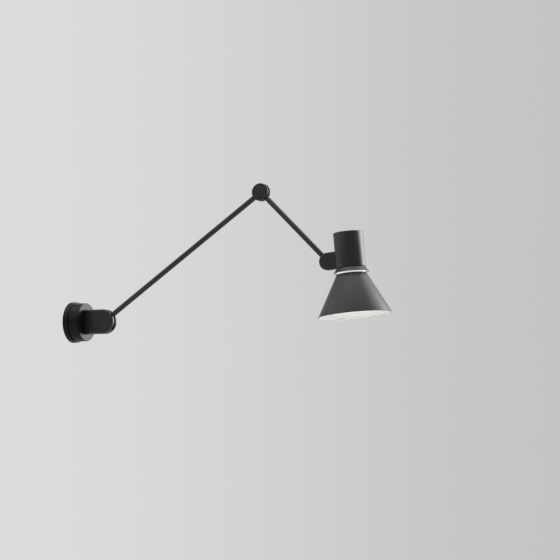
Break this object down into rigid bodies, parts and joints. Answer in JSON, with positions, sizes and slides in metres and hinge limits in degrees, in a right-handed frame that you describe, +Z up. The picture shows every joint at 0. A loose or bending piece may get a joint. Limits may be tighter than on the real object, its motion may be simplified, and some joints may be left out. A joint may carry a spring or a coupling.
{
  "type": "articulating wall lamp",
  "caption": "Wall lamp with a round swivelling rose, two jointed round arms with friction pivots and a tilting conical shade under a cylindrical cap.",
  "frame": {"origin": "centre of the wall plate's rear face, on the swivel axis", "axes": "+X straight out of the wall, +Z up, +Y along the wall; the arms lie in the XZ plane at rest"},
  "size_m": [0.6787, 0.14, 0.296],
  "materials": {
    "graphite_paint": "satin dark grey powder coat, fine texture",
    "shade_paint": "satin dark grey outside, white enamel inside",
    "cover_paint": "satin dark grey, smooth",
    "opal_diffuser": "translucent opal acrylic, lit from inside",
    "plate_steel": "zinc-plated, satin",
    "screw_steel": "zinc-plated",
    "pin_steel": "turned, bright",
    "spring_steel": "blued spring steel",
    "brass": "turned, bright",
    "friction_fibre": "pressed fibre",
    "terminal_polymer": "white polyamide",
    "holder_polymer": "white heat-resistant polymer",
    "lamp_polymer": "white, gloss",
    "lamp_cap_metal": "bare, satin",
    "opal_glass": "opal glass",
    "switch_polymer": "black polyamide",
    "button_polymer": "dark grey, satin gloss",
    "lead_sheath": "black sheath"
  },
  "bodies": {
    "wall_mount": {"wall_plate": "plate_steel", "rose_ring": "graphite_paint", "grub_screws": "screw_steel", "earth_screw": "brass", "terminal_block": "terminal_polymer", "terminal_screws": "brass", "swivel_bolt": "brass", "swivel_nut": "screw_steel", "swivel_spring_washer": "spring_steel", "swivel_friction_washer": "friction_fibre", "supply_lead": "lead_sheath"},
    "bracket": {"rose_drum": "graphite_paint", "bracket_fork": "graphite_paint", "bracket_screws": "screw_steel", "bracket_lead": "lead_sheath", "shoulder_pin": "pin_steel", "shoulder_washers": "friction_fibre", "shoulder_pin_cover": "cover_paint"},
    "lower_arm": {"lower_arm_foot": "graphite_paint", "lower_arm_tube": "graphite_paint", "lower_arm_lead": "lead_sheath", "elbow_fork": "graphite_paint", "elbow_pin": "pin_steel", "elbow_washers": "friction_fibre", "elbow_cover_near": "cover_paint", "elbow_cover_far": "cover_paint"},
    "upper_arm": {"upper_arm_foot": "graphite_paint", "upper_arm_tube": "graphite_paint", "upper_arm_tip": "graphite_paint", "upper_arm_lead": "lead_sheath"},
    "lamp_head": {"head_fork": "graphite_paint", "head_pin": "pin_steel", "head_washers": "friction_fibre", "head_pin_cover": "cover_paint", "head_screws": "screw_steel", "head_lead": "lead_sheath", "holder_strap": "screw_steel", "lamp_cap": "graphite_paint", "lamp_skirt": "graphite_paint", "glow_ring": "opal_diffuser", "lamp_shade": "shade_paint", "lampholder": "holder_polymer", "shade_ring": "holder_polymer", "holder_nipple": "brass", "nipple_nut": "screw_steel", "switch_body": "switch_polymer", "switch_bezel": "cover_paint", "switch_lead": "lead_sheath", "lamp_base": "lamp_cap_metal", "lamp_housing": "lamp_polymer", "lamp_globe": "opal_glass"},
    "button": {"switch_button": "button_polymer"}
  },
  "joints": [
    {"name": "rose_swivel", "type": "hinge", "parent": "wall_mount", "child": "bracket", "pos_m": [0, 0, 0], "axis": [1, 0, 0], "range_deg": [-75, 75]},
    {"name": "shoulder", "type": "hinge", "parent": "bracket", "child": "lower_arm", "pos_m": [0.072, 0, 0], "axis": [0, -1, 0], "range_deg": [-65, 55]},
    {"name": "elbow", "type": "hinge", "parent": "lower_arm", "child": "upper_arm", "pos_m": [0.41384, 0, 0.23847], "axis": [0, -1, 0], "range_deg": [-55, 75]},
    {"name": "head_tilt", "type": "hinge", "parent": "upper_arm", "child": "lamp_head", "pos_m": [0.55387, 0, 0.0999], "axis": [0, -1, 0], "range_deg": [-60, 39]},
    {"name": "button_press", "type": "slide", "parent": "lamp_head", "child": "button", "axis": [0.0941, 0, -0.9956], "range_m": [0, 0.0012], "stiffness_N_per_m": 800, "springref_m": -0.0005}
  ]
}
